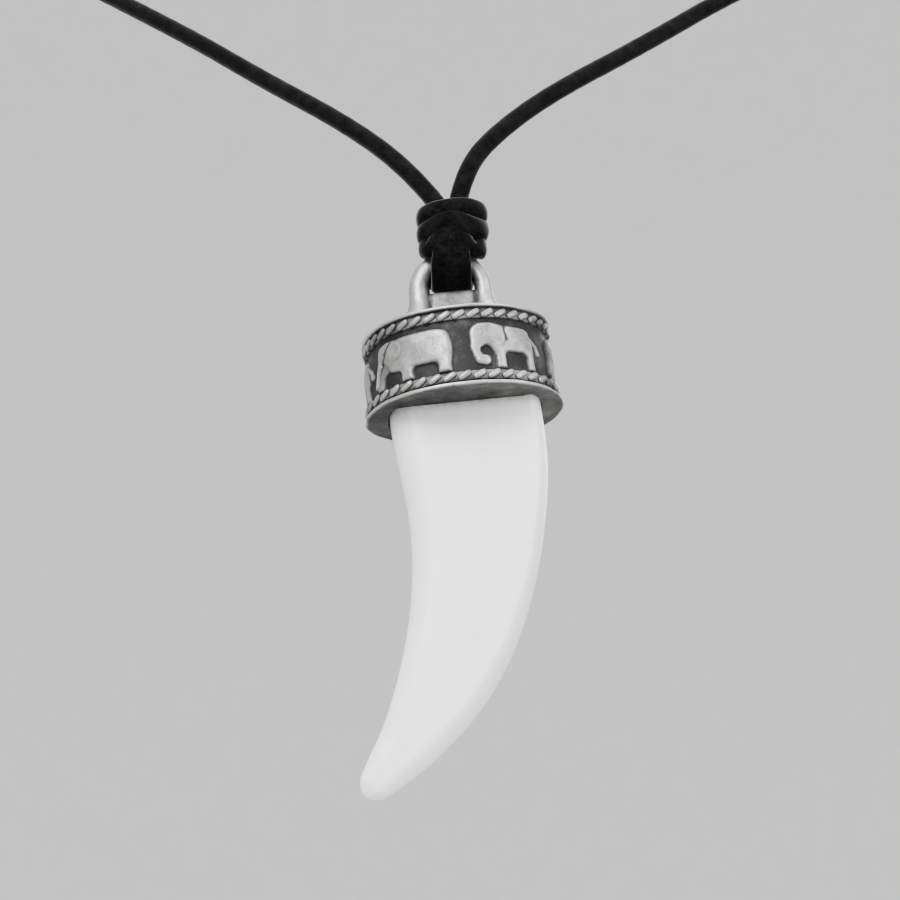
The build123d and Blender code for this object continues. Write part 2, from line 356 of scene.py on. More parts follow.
def skin_over(rings, close_end=True):
    """Points and faces of a skin over rings of points, closed with a fan at the ends."""
    rings = np.asarray(rings)
    rows, columns = rings.shape[:2]
    points = rings.reshape(-1, 3)
    faces = [tuple(face) for face in ring_faces(rows, columns)]
    for row in (0, rows - 1) if close_end else (0,):
        middle = len(points)
        points = np.vstack([points, rings[row].mean(axis=0)])
        for column in range(columns):
            pair = (row * columns + column, row * columns + (column + 1) % columns)
            faces.append((*pair, middle) if row else (pair[1], pair[0], middle))
    return points, faces


def ring_points(radii, heights, angles):
    """Points of rings round Z, a row for each ring."""
    radii = radii + 0 * angles
    heights = heights + 0 * angles
    return np.stack([radii * np.cos(angles), radii * np.sin(angles), heights], axis=-1)


def moved_to_pendant(points):
    """Points given in the pendant's frame, in the part's frame."""
    turn = np.array(PENDANT_FRAME.to_3x3())
    return np.asarray(points) @ turn.T + np.array(HINGE)


def distances_along(route):
    """How far along a route each of its points is, from 0."""
    steps = np.linalg.norm(np.diff(route, axis=0), axis=1)
    return np.concatenate([[0.0], np.cumsum(steps)])


def directions_along(route):
    """Unit directions of a route at its points."""
    along = np.gradient(route, axis=0)
    return along / np.linalg.norm(along, axis=1)[:, None]


def smooth_route(name, points):
    """Points along a NURBS spline that has these control points, each place once."""
    curve = bpy.data.curves.new(name, "CURVE")
    curve.dimensions = "3D"
    curve.resolution_u = 24
    spline = curve.splines.new("NURBS")
    spline.points.add(len(points) - 1)
    for control, point in zip(spline.points, points):
        control.co = (*point, 1.0)
    spline.order_u = 3
    spline.use_endpoint_u = True
    mesh = finished_mesh(put_in_scene(name, curve))
    route = np.array([vertex.co[:] for vertex in mesh.vertices])
    bpy.data.meshes.remove(mesh)
    bpy.data.curves.remove(curve)
    apart = np.linalg.norm(np.diff(route, axis=0), axis=1) > SAME_PLACE
    return route[np.concatenate([[True], apart])]


def squared(sines, power):
    """Sines to a power with their signs kept, which makes a round outline squarer."""
    return np.sign(sines) * np.abs(sines) ** power


def tube_rings(route, radii, sides, squareness=1.0, stretch=1.0):
    """Rings of points square to a route, turned as little as possible from one to the next."""
    along = directions_along(route)
    side = np.cross(along[0], (0.0, 0.0, 1.0) if abs(along[0][2]) < 0.9 else (0.0, 1.0, 0.0))
    angles = np.linspace(0, 2 * math.pi, sides, endpoint=False)
    across = stretch * squared(np.cos(angles), squareness)
    up = squared(np.sin(angles), squareness)
    rings = []
    for point, direction, radius in zip(route, along, radii):
        side = side - direction * side.dot(direction)
        side /= np.linalg.norm(side)
        other = np.cross(direction, side)
        rings.append(point + radius * (np.outer(across, side) + np.outer(up, other)))
    return np.array(rings)


def wrap_uvs(route, sides, faces):
    """UVs with the share round the tube and the metres along it."""
    metres = distances_along(route)
    uvs = []
    for face in faces:
        columns = [index % sides for index in face[:3]]
        seam = 0 in columns and sides - 1 in columns
        for index in face:
            row, column = divmod(index, sides)
            if row == len(route):
                uvs.append((0.5, 0.0))
            else:
                uvs.append((1.0 if seam and column == 0 else column / sides, metres[row]))
    return uvs


def tube_piece(name, route, radii, sides=CORD_SIDES, squareness=1.0, stretch=1.0):
    """A closed tube along a route, with a ring close to each end that keeps its edge crisp."""
    ends = [route[:1] * 0.98 + route[1:2] * 0.02, route[-1:] * 0.98 + route[-2:-1] * 0.02]
    route = np.concatenate([route[:1], ends[0], route[1:-1], ends[1], route[-1:]])
    radii = np.concatenate([radii[:1], radii[:1], radii[1:-1], radii[-1:], radii[-1:]])
    points, faces = skin_over(tube_rings(route, radii, sides, squareness, stretch))
    return new_piece(name, points, faces, wrap_uvs(route, sides, faces))


def set_values(piece, name, values):
    """Give a mesh one number a point under an attribute's name."""
    attribute = piece.data.attributes.new(name, "FLOAT", "POINT")
    attribute.data.foreach_set("value", np.asarray(values, dtype=np.float32))


def fused(name, pieces):
    """One mesh object from several, in place of them."""
    with bpy.context.temp_override(active_object=pieces[0], selected_editable_objects=pieces):
        bpy.ops.object.join()
    pieces[0].name = name
    pieces[0].data.name = name
    return pieces[0]


def dress(piece, material, slot, body, *nodes):
    """Give a piece its material, its body and the nodes that it stands for."""
    piece.data.materials.clear()
    piece.data.materials.append(material)
    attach(piece, body)
    if nodes:
        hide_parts(*nodes)


# Camera


def place_camera():
    """A camera below the pendant that looks up at it and puts the bail's bar at its pixel."""
    data = bpy.data.cameras.new("camera")
    data.sensor_width = SENSOR_WIDTH
    data.lens = SENSOR_WIDTH * CAMERA_DISTANCE * PIXELS_PER_METRE / FRAME_PIXELS
    data.clip_start = 0.01
    data.clip_end = 50
    camera = put_in_scene("camera", data)
    tilt = math.pi / 2 + CAMERA_RISE
    right = (FRAME_PIXELS / 2 - BAR_PIXEL[0]) / PIXELS_PER_METRE
    up = (BAR_PIXEL[1] - FRAME_PIXELS / 2) / PIXELS_PER_METRE
    camera.location = HINGE + Matrix.Rotation(tilt, 3, "X") @ Vector((right, up, CAMERA_DISTANCE))
    camera.rotation_euler = (tilt, 0, 0)
    bpy.context.scene.camera = camera


# Cords


def strand_route(points):
    """A front strand's points in the part's frame."""
    return [HINGE + Vector(point) * MM for point in points]


def neck_route(strand, mirror, column):
    """On in line from the strand's last point, then round the neck at the heights in this column."""
    lead = (strand[-1] - strand[-2]).normalized() * NECK_LEAD
    neck = [Vector((mirror * row[0], row[1], row[column])) * MM for row in NECK]
    return [strand[-1], strand[-1] + lead, *neck]


def cord_radii(route, seed):
    """The cord's radius with the slight unevenness of waxed cotton."""
    metres = distances_along(route)
    long_swell = np.sin(metres * 1900 + seed)
    short_swell = np.sin(metres * 3370 + 2.1 * seed)
    swell = 0.6 * long_swell + 0.4 * short_swell
    return CORD_RADIUS * (1 + CORD_UNEVENNESS * swell)


def spread_evenly(route):
    """The same route with points at the cord's even spacing along it."""
    metres = distances_along(route)
    stations = np.linspace(0, metres[-1], int(metres[-1] / CORD_SPACING))
    return np.stack([np.interp(stations, metres, route[:, axis]) for axis in range(3)], axis=1)


def make_cord(name, points, seed, material):
    """A cord that stands for the node of this name, and the route of its spline."""
    route = smooth_route(name + "_route", points)
    fine = spread_evenly(route)
    piece = tube_piece(name, fine, cord_radii(fine, seed))
    dress(piece, material, "cord", "necklace", name)
    piece.name = name + "_waxed"
    return piece, route


def make_cords(material):
    """The front strands hang free. The neck holds the rest of the cord."""
    for side, strand, mirror, column, seed in (
        ("left", strand_route(LEFT_STRAND), -1, 2, 1.0),
        ("right", strand_route(RIGHT_STRAND), 1, 3, 2.0),
    ):
        piece, route = make_cord("cord_" + side, strand, seed, material)
        make_cord("neck_cord_" + side, neck_route(strand, mirror, column), seed + 3, material)


# Tooth

UNDERSIDE = -16.5 * MM
TOOTH_WIDTH = 14.9 * MM
TOOTH_THICKNESS = 8.6 * MM
TOOTH_DROP = 37.3 * MM
TOOTH_SWEEP = 13.5 * MM
TOOTH_ROOT = 5.4 * MM
TIP_LENGTH = 1.3 * MM
TOOTH_ROWS = 170

# How wide the rounded edges are, and how far they and the face fall back, as shares of the half thickness
LEFT_EDGE = 1.3 * MM
RIGHT_EDGE = 2.4 * MM
EDGE_DEPTH = 0.82
FACE_FALL = 0.025

# How far the grime and painted shade from the cap reach down from the socket, how dark they are there and how
# fast they fade
GRIME_AND_SHADE_REACH = 1.30 * MM
GRIME_AND_SHADE_DARKNESS = 0.85
GRIME_AND_SHADE_FADE = 2.2

# Shares of the drop, the sweep, the width and the thickness
TOOTH_SECTIONS = [
    (-0.150, 0.000, 1.000, 1.00),
    (0.000, 0.000, 1.000, 1.00),
    (0.155, -0.018, 0.968, 0.98),
    (0.300, 0.004, 0.886, 0.93),
    (0.445, 0.074, 0.802, 0.87),
    (0.587, 0.195, 0.712, 0.80),
    (0.720, 0.373, 0.592, 0.70),
    (0.844, 0.608, 0.425, 0.57),
    (0.925, 0.812, 0.296, 0.44),
    (0.968, 0.930, 0.212, 0.34),
    (0.994, 1.004, 0.150, 0.24),
]


def smooth_columns(table, count):
    """Rows between a table's rows, on a cardinal spline through each column."""
    table = np.asarray(table, dtype=float)
    spots = np.linspace(0, len(table) - 1, count)
    cell = np.minimum(spots.astype(int), len(table) - 2)
    t = (spots - cell)[:, None]
    slopes = np.gradient(table, axis=0)
    start, end = table[cell], table[cell + 1]
    start_slope, end_slope = slopes[cell], slopes[cell + 1]
    return (
        (2 * t**3 - 3 * t**2 + 1) * start
        + (t**3 - 2 * t**2 + t) * start_slope
        + (3 * t**2 - 2 * t**3) * end
        + (t**3 - t**2) * end_slope
    )


def rounded_edge(x, y, reach, depth):
    """Points of a quarter turn from the end of the tooth's face back round its edge."""
    turns = np.linspace(0, math.pi / 2, 15)[1:]
    return np.stack([x + reach * np.sin(turns), y + depth * (1 - np.cos(turns))], axis=1)


def tooth_ring(half_width, half_thick):
    """Section with a nearly flat face, a narrow left edge and a wide soft right edge."""
    left = min(LEFT_EDGE, 0.8 * half_width)
    right = min(RIGHT_EDGE, 0.9 * half_width)
    edge = EDGE_DEPTH * half_thick
    face = np.linspace(-half_width + left, half_width - right, 34)
    middle = (left - right) / 2
    fall = ((face - middle) / half_width) ** 2 * FACE_FALL * half_thick
    front = np.stack([face, fall - half_thick], axis=1)
    right_side = rounded_edge(*front[-1], right, edge - fall[-1])
    left_side = rounded_edge(*front[0], -left, edge - fall[0])[::-1]
    front_half = np.concatenate([left_side, front, right_side])
    back_half = front_half[::-1] * (1, -1)
    return np.concatenate([front_half, back_half])


def make_tooth(material):
    """The tooth from its root down the sweep to a rounded tip, with grime and painted shade just below the
    socket.
    """
    rows = smooth_columns(TOOTH_SECTIONS, TOOTH_ROWS)
    drops = UNDERSIDE - rows[:, 0] * TOOTH_DROP
    middles = np.stack([-rows[:, 1] * TOOTH_SWEEP, 0 * drops, drops], axis=1)
    metres = distances_along(middles)
    ending = np.clip((metres[-1] - metres) / TIP_LENGTH, 0.0, 1.0)
    closing = np.maximum(np.sqrt(1 - (1 - ending) ** 2), 0.02)
    back = (0.0, 1.0, 0.0)
    rings = []
    for middle, direction, row, close in zip(middles, directions_along(middles), rows, closing):
        side = np.cross(back, direction)
        ring = tooth_ring(row[2] * TOOTH_WIDTH * close / 2, row[3] * TOOTH_THICKNESS * close / 2)
        rings.append(middle + np.outer(ring[:, 0], side) + np.outer(ring[:, 1], back))
    points, faces = skin_over(rings)
    piece = new_piece("tooth_bone", moved_to_pendant(points), faces)
    # Grime and painted shade: darkest at the socket, fading down the tooth
    below = np.clip((UNDERSIDE - points[:, 2]) / GRIME_AND_SHADE_REACH, 0, 1)
    set_values(piece, "grime", GRIME_AND_SHADE_DARKNESS * (1 - below) ** GRIME_AND_SHADE_FADE)
    dress(piece, material, "tooth", "pendant", "tooth")


# Cap

CAP_COLUMNS = 600
CROWN_ROWS = 34
CAP_TOP_RADIUS = 9.25 * MM
CAP_RIM_RADIUS = 9.65 * MM
DRUM_TOP = -8.1 * MM
FIELD_TOP = -9.6 * MM
FIELD_BOTTOM = -14.95 * MM
FRIEZE_MIDDLE = -12.35 * MM
FIELD_ROWS = 76
FIELD_DEPTH = 0.55 * MM
RELIEF_PROUD = 0.5 * MM
ROPE_SEAT_DEPTH = 0.33 * MM
ROPE_MIDDLES = (-9.09 * MM, -15.46 * MM)
ROPE_STRANDS = 40
ROPE_SLANT = math.radians(27)
STRAND_SIZE = (0.30 * MM, 0.76 * MM, 0.36 * MM)
STRAND_SQUARENESS = 0.72
STRAND_SIDES = 12
STRAND_ROWS = 6
SOCKET_GAP = 0.1 * MM
SOCKET_CLEAR = 0.3 * MM
SOCKET_LIP = 0.4 * MM
RIM_ROUNDING = 0.28 * MM

# Shares of the way from the rim to the socket, and how far the underside is hollowed there, in millimetres
UNDERSIDE_STEPS = [(0.0, 0.0), (0.12, 0.08), (0.5, 0.14), (0.85, 0.12), (0.97, 0.09), (1.0, 0.02)]

# Wear of the metal, from 0 in the tarnished recesses to 1 where it is rubbed bright, lowered where shade is
# painted into nooks, creases, the bail's inside and the underside's left
FIELD_WEAR = 0.08
PROUD_WEAR = 0.66
EDGE_WEAR = 0.26
EDGE_REACH = 0.28 * MM
# Painted shade: narrow recesses of the relief are darkened, broad proud parts a little lighter
NOOK_SHADE = 0.16
NOOK_SHADE_REACH = 0.85 * MM
WEAR_STEP = 0.22 * MM
RIM_WEAR = 0.70
RIM_REACH = 0.45 * MM
CROWN_WEAR = 0.46
# Painted shade in the creases beside the bail's legs
CREASE_SHADE = 0.38
UNDERSIDE_WEAR = 0.15
# Painted shade across the underside, darker towards its left side
UNDERSIDE_SHADE_SLANT = 0.09
ROPE_WEAR = 0.78
BAIL_WEAR = 0.80
# Painted shade on the side of the bail that faces its hole
BAIL_INNER_SHADE = 0.66

# Height on the drum and depth of the lip, groove, seat or field there, in millimetres
DRUM_STEPS = [
    (-8.10, 0.16), (-8.15, 0.04), (-8.20, 0.00), (-8.31, 0.00), (-8.36, 0.05),
    (-8.41, 0.32), (-8.48, 0.42), (-8.58, 0.42), (-8.64, 0.34),
    (-9.00, 0.34), (-9.30, 0.34), (-9.50, 0.34),
    (-9.55, 0.50), (-9.60, 0.55), (-14.95, 0.55), (-15.00, 0.50),
    (-15.05, 0.34), (-15.30, 0.34), (-15.60, 0.34), (-15.88, 0.34),
    (-15.93, 0.42), (-16.10, 0.42), (-16.17, 0.08),
    (-16.23, 0.00), (-16.38, 0.00), (-16.45, 0.04), (-16.50, 0.14),
]

# Crown from the web between the bail's feet down to the lip.
# Each row has the half width, half depth and squareness of its outline, and its height, in millimetres.
CROWN_STEPS = [
    (0.10, 0.05, 2.0, -3.45),
    (1.60, 0.22, 2.6, -3.45),
    (2.60, 0.45, 3.2, -3.46),
    (2.95, 0.66, 3.4, -3.57),
    (3.15, 0.80, 3.4, -3.88),
    (3.35, 0.86, 3.2, -4.45),
    (3.60, 0.95, 2.9, -5.05),
    (3.95, 1.25, 2.6, -5.60),
    (4.50, 2.20, 2.3, -6.15),
    (5.40, 3.90, 2.1, -6.70),
    (6.50, 5.70, 2.0, -7.20),
    (7.60, 7.25, 2.0, -7.62),
    (8.40, 8.30, 2.0, -7.90),
    (8.85, 8.85, 2.0, -8.02),
]

# Trunks, as places from the head's middle and radii, in millimetres
REACHING = [
    (-0.55, 0.10, 0.70), (-1.00, -0.90, 0.45),
    (-1.40, -1.90, 0.38), (-1.70, -2.90, 0.36),
]
CURLED = [
    (-0.60, -0.30, 1.00), (-1.10, -1.30, 0.60), (-1.08, -1.90, 0.48),
    (-0.75, -2.65, 0.54), (-0.18, -2.78, 0.56),
]

# Two kinds of elephant, in millimetres along the band and up from its middle. The head has a middle, half
# length and half height, and a near foot has a middle and a radius. The tail is how far it stands off, the
# seam is the depth of the ear's outline, and the crease is the fold behind or before the ear.
WALKING = {
    "head": (-2.75, 1.12, 1.12, 1.00),
    "chest": -2.75,
    "rump": 4.55,
    "back": 2.18,
    "belly": -1.32,
    "trunk": REACHING,
    "near_fore": (-0.12, 0.70),
    "far_fore": -3.95,
    "near_hind": (3.78, 0.72),
    "tail": None,
    "seam": 0.03,
    "crease": [(-2.15, 1.95), (-2.75, 1.15), (-3.35, 0.15)],
}
FEEDING = {
    "head": (-2.00, 1.12, 1.55, 1.20),
    "chest": -1.30,
    "rump": 3.35,
    "back": 1.95,
    "belly": -0.80,
    "trunk": CURLED,
    "near_fore": (-0.58, 0.55),
    "far_fore": None,
    "near_hind": (3.02, 0.46),
    "tail": 0.85,
    "seam": 0.10,
    "crease": [(0.20, 2.00), (0.08, 1.30), (0.25, 0.45)],
}

# Where each elephant stands, in degrees from the front, and its length share
ELEPHANTS = [
    (-34.7, WALKING, 1.00),
    (27.6, FEEDING, 1.00),
    (95.0, WALKING, 0.94),
    (145.5, FEEDING, 1.03),
    (206.9, WALKING, 0.99),
    (263.9, FEEDING, 0.98),
]
GROUND = -2.52

# Slow waves in the casting, outwards and upwards: size in millimetres, turns round the drum, change with
# height, and phase. At one angle each the rim swells and lifts: size, angle and reach.
SWELL_WAVES = [
    (0.15, 1, 0.0, -math.pi / 2),
    (0.04, 3, 0.6, 0.0),
    (0.03, 7, -1.1, 2.0),
    (0.02, 17, 2.3, 0.0),
]
LIFT_WAVES = [
    (0.13, 1, 0.0, math.pi / 2 - 0.4),
    (0.05, 2, 0.0, 1.0),
    (0.03, 5, 0.0, 0.4),
]
CAST_OVERSIZE = 0.13
RIM_SWELL = (0.35, 0.55, 0.5)
RIM_LIFT = (0.45, 2.45, 0.5)

# Where the drum is duller: by what share, at how many degrees from the front, and over what reach
RIGHT_TARNISH = (0.50, 66, 13)
UPPER_LEFT_TARNISH = (0.40, -50, 17)


def drum_radius(height):
    """The drum widens evenly from its top to its rim."""
    share = (DRUM_TOP - height) / (DRUM_TOP - UNDERSIDE)
    return CAP_TOP_RADIUS + share * (CAP_RIM_RADIUS - CAP_TOP_RADIUS)


def slab(u, v, middle, radii, power):
    """Rough distance outside a rounded slab."""
    across = np.abs((u - middle[0]) / radii[0]) ** power
    up = np.abs((v - middle[1]) / radii[1]) ** power
    return ((across + up) ** (1 / power) - 1) * min(radii)


def limb(u, v, joints):
    """Distance outside a chain of tapering rounded runs. Each joint is a place and a radius."""
    nearest = np.full(np.shape(u), 1e3)
    for (u0, v0, r0), (u1, v1, r1) in zip(joints, joints[1:]):
        run = (u1 - u0) ** 2 + (v1 - v0) ** 2
        share = np.clip(((u - u0) * (u1 - u0) + (v - v0) * (v1 - v0)) / run, 0, 1)
        gap = np.hypot(u - u0 - share * (u1 - u0), v - v0 - share * (v1 - v0))
        nearest = np.minimum(nearest, gap - (r0 + share * (r1 - r0)))
    return nearest


def soft_union(first, second, softness):
    """The smaller of two distances, rounded where they meet."""
    overlap = np.clip(0.5 + 0.5 * (second - first) / softness, 0, 1)
    return second + (first - second) * overlap - softness * overlap * (1 - overlap)


def swelling(distance, edge):
    """Height from 0 to 1 of a rounded form inside its outline."""
    depth = np.clip(-distance / edge, 0, 1)
    return np.sqrt(1 - (1 - depth) ** 2)


def bell(distance, reach):
    """A smooth rise to 1 where the distance is 0."""
    return np.exp(-((distance / reach) ** 2))


def rise(angle, size, middle, reach):
    """A smooth rise to this size at one angle."""
    return size * bell(angle - middle, reach)


def elephant_body(u, v, kind):
    """Distance outside the head, trunk, body and near legs in one."""
    head_u, head_v, head_long, head_tall = kind["head"]
    length, depth = kind["rump"] - kind["chest"], kind["back"] - kind["belly"]
    middle = (kind["chest"] + length / 2, kind["belly"] + depth / 2)
    body = slab(u, v, middle, (length / 2, depth / 2), 4.6)
    head = slab(u, v, (head_u, head_v), (head_long, head_tall), 2.3)
    trunk = limb(u, v, [(head_u + across, head_v + up, radius) for across, up, radius in kind["trunk"]])
    torso = soft_union(soft_union(body, head, 0.9), trunk, 0.35)
    fore_u, fore_radius = kind["near_fore"]
    shoulder = (fore_u - 0.1, 0.0, fore_radius + 0.2)
    fore = limb(u, v, [shoulder, (fore_u, -1.3, fore_radius), (fore_u + 0.05, GROUND, fore_radius)])
    hind_u, hind_radius = kind["near_hind"]
    haunch = (hind_u - 0.15, 0.2, hind_radius + 0.15)
    hind = limb(u, v, [haunch, (hind_u, -1.2, hind_radius), (hind_u + 0.05, GROUND, hind_radius)])
    near = soft_union(soft_union(fore, hind, 0.1), torso, 0.6)
    return np.maximum(near, GROUND - v)


def elephant_relief(u, v, kind):
    """Height from 0 to 1 of a stout elephant walking to -u, cast a little blunt."""
    near = elephant_body(u, v, kind)
    height = 0.58 * swelling(near, 0.34) + 0.26 * swelling(near, 1.4)
    if kind["far_fore"] is not None:
        knee = (kind["far_fore"] + 0.65, -0.95, 0.54)
        stride = limb(u, v, [(kind["chest"] + 0.4, -0.1, 0.8), knee, (kind["far_fore"], GROUND, 0.50)])
        height = np.maximum(height, 0.56 * swelling(np.maximum(stride, GROUND - v), 0.30))
    if kind["tail"] is not None:
        root = (kind["rump"] - 0.15, 0.95, 0.30)
        tuft = (kind["rump"] + kind["tail"] * 1.3, -0.35, 0.34)
        tail = limb(u, v, [root, (kind["rump"] + kind["tail"], 0.25, 0.28), tuft])
        height = np.maximum(height, 0.56 * swelling(tail, 0.24))
    head_u, head_v = kind["head"][:2]
    ear = slab(u, v, (head_u + 1.15, head_v - 0.15), (0.95, 1.05), 2.2)
    behind = np.clip((u - head_u - 1.0) / 0.6, 0.25, 1)
    seam = bell(ear - 0.08, 0.14) * behind * (near < -0.12)
    fold = limb(u, v, [(across, up, 0.0) for across, up in kind["crease"]])
    crease = bell(fold, 0.15) * (near < -0.05)
    eye = bell(np.hypot(u - head_u + 0.30, v - head_v + 0.05), 0.17)
    height = height + 0.08 * swelling(ear, 0.8) - kind["seam"] * seam - 0.40 * crease - 0.20 * eye
    return np.clip(height, 0, 1)


def frieze(angle_grid, height_grid):
    """Height from 0 to 1 of the elephants all round the drum."""
    relief = np.zeros_like(angle_grid)
    for degrees, kind, length in ELEPHANTS:
        from_front = angle_grid + math.pi / 2 - math.radians(degrees)
        turn = (from_front + math.pi) % (2 * math.pi) - math.pi
        u = turn * CAP_TOP_RADIUS / MM / length
        v = (height_grid - FRIEZE_MIDDLE) / MM
        relief = np.maximum(relief, elephant_relief(u, v, kind))
    above = np.clip((height_grid - FIELD_BOTTOM) / (0.1 * MM), 0, 1)
    below = np.clip((FIELD_TOP - height_grid) / (0.1 * MM), 0, 1)
    return relief * above * below


def blurred(heights, field, reach):
    """A field over the drum, averaged over a reach both ways."""
    apart = heights[:, None] - heights[None, :]
    weights = np.exp(-((apart / reach) ** 2) / 2) * np.abs(np.gradient(heights))[None, :]
    weights /= weights.sum(axis=1)[:, None]
    around = np.arange(CAP_COLUMNS) * 2 * math.pi * CAP_TOP_RADIUS / CAP_COLUMNS
    around = np.minimum(around, 2 * math.pi * CAP_TOP_RADIUS - around)
    kernel = np.exp(-((around / reach) ** 2) / 2)
    kernel /= kernel.sum()
    return np.fft.irfft(np.fft.rfft(weights @ field, axis=1) * np.fft.rfft(kernel), CAP_COLUMNS, axis=1)


def tarnish(angle, height):
    """Share of the wear that is left at each place on the drum."""
    degrees = np.degrees(angle) + 90
    upper = bell(height / MM + 9.1, 0.8)
    return 1 - rise(degrees, *RIGHT_TARNISH) - rise(degrees, *UPPER_LEFT_TARNISH) * upper


def cap_wall(angles):
    """Rings down the drum with the frieze in its field, and each point's wear with painted shade in its
    nooks.
    """
    steps = np.array(DRUM_STEPS) * MM
    field_rows = np.linspace(FIELD_TOP, FIELD_BOTTOM, FIELD_ROWS + 2)[1:-1]
    heights = np.sort(np.concatenate([steps[:, 0], field_rows]))[::-1]
    depth = np.interp(-heights, -steps[:, 0], steps[:, 1])
    height_grid, angle_grid = np.meshgrid(heights, angles, indexing="ij")
    outset = frieze(angle_grid, height_grid) * RELIEF_PROUD - depth[:, None]
    edges = (outset - blurred(heights, outset, EDGE_REACH)) / WEAR_STEP
    # Painted shade in the narrow recesses between the relief's parts
    nook_shade = (outset - blurred(heights, outset, NOOK_SHADE_REACH)) / WEAR_STEP
    rubbed = FIELD_WEAR + PROUD_WEAR * (1 + outset / FIELD_DEPTH) + EDGE_WEAR * edges + NOOK_SHADE * nook_shade
    from_top = np.clip((DRUM_TOP - height_grid) / RIM_REACH, 0, 1)
    from_bottom = np.clip((height_grid - UNDERSIDE) / RIM_REACH, 0, 1)
    rims = RIM_WEAR + (1 - RIM_WEAR) * from_top * from_bottom
    rubbed = np.clip(rubbed * rims * tarnish(angle_grid, height_grid), 0, 1)
    return ring_points(drum_radius(height_grid) + outset, height_grid, angle_grid), rubbed


def socket_edge(angles):
    """Distance from the axis to the socket's edge, at each angle."""
    outline = tooth_ring(TOOTH_WIDTH / 2 + SOCKET_GAP, TOOTH_THICKNESS / 2 + SOCKET_GAP)
    turns = np.arctan2(outline[:, 1], outline[:, 0])
    order = np.argsort(turns)
    reach = np.hypot(outline[:, 0], outline[:, 1])[order]
    return np.interp(angles, turns[order], reach, period=2 * math.pi)


def underside_rings(angles):
    """Rings from the rim across the plain underside and up into the socket."""
    edge = socket_edge(angles)
    rim = CAP_RIM_RADIUS - RIM_ROUNDING
    rings = []
    for share, lift in UNDERSIDE_STEPS:
        rings.append(ring_points(rim + (edge - rim) * share, UNDERSIDE + lift * MM, angles))
    socket_top = UNDERSIDE + TOOTH_ROOT + SOCKET_CLEAR
    for share, height in ((1.0, UNDERSIDE + SOCKET_LIP), (1.0, socket_top), (0.4, socket_top)):
        rings.append(ring_points(edge * share, height, angles))
    return np.array(rings)


def waves(table, angle, height):
    """The sum of a table's waves, in millimetres."""
    return sum(size * np.sin(turns * angle + climb * height + phase) for size, turns, climb, phase in table)


def hand_finished(points):
    """The slow unevenness of a casting from a hand-carved model, in the pendant's frame."""
    x, y, z = points.T
    angle = np.arctan2(y, x)
    height = z / MM
    outside = np.clip((np.hypot(x, y) - 7 * MM) / (2 * MM), 0, 1)
    rim = np.clip((-14.5 - height) / 1.5, 0, 1)
    swell = CAST_OVERSIZE + waves(SWELL_WAVES, angle, height) + rim * rise(angle, *RIM_SWELL)
    lift = waves(LIFT_WAVES, angle, height) + rim * rise(angle, *RIM_LIFT)
    out = 1 + outside * swell * MM / CAP_RIM_RADIUS
    return np.stack([x * out, y * out, z + outside * lift * MM], axis=1)


def outline_ring(half_width, half_depth, squareness, height, angles):
    """A ring whose outline goes from a circle to a rounded slab."""
    across = np.abs(np.cos(angles) / half_width) ** squareness
    through = np.abs(np.sin(angles) / half_depth) ** squareness
    return ring_points((across + through) ** (-1 / squareness), height, angles)


def cap_body():
    """Crown, drum and underside in one skin, with each point's wear and painted shade."""
    angles = np.linspace(-math.pi, math.pi, CAP_COLUMNS, endpoint=False)
    crown_rows = smooth_columns(CROWN_STEPS, CROWN_ROWS)
    crown_rows[:, [0, 1, 3]] *= MM
    crown = [outline_ring(*row, angles) for row in crown_rows]
    wall, wall_rubbed_and_shaded = cap_wall(angles)
    points, faces = skin_over(np.concatenate([crown, wall, underside_rings(angles)]))
    faces = [face[::-1] for face in faces]
    # The underside's plain dull tone, with painted shade making it darker towards the left
    rubbed = UNDERSIDE_WEAR + UNDERSIDE_SHADE_SLANT * np.cos(np.arctan2(points[:, 1], points[:, 0]))
    wall_start = CROWN_ROWS * CAP_COLUMNS
    across, _, height = points[:wall_start].T / MM
    # Painted shade: the crown is darkened in the creases beside the bail's legs
    crease_shade = bell(np.abs(across) - 2.25, 0.28) * (height > -6)
    rubbed[:wall_start] = CROWN_WEAR - CREASE_SHADE * crease_shade
    rubbed[wall_start : wall_start + wall_rubbed_and_shaded.size] = wall_rubbed_and_shaded.ravel()
    piece = new_piece("cap_body", moved_to_pendant(hand_finished(points)), faces)
    set_values(piece, "rubbed", rubbed)
    return piece


# Bail

BAIL_SIDES = 44
BAIL_BASE = DRUM_TOP + 0.6 * MM
BAIL_ARCH_RADIUS = 3.2 * MM
LEFT_LEG_RADIUS = 1.06 * MM
RIGHT_LEG_RADIUS = 0.88 * MM
FOOT_TOP = -3.4 * MM
FOOT_BASE = -6.2 * MM
FOOT_SPREAD = 1.0 * MM


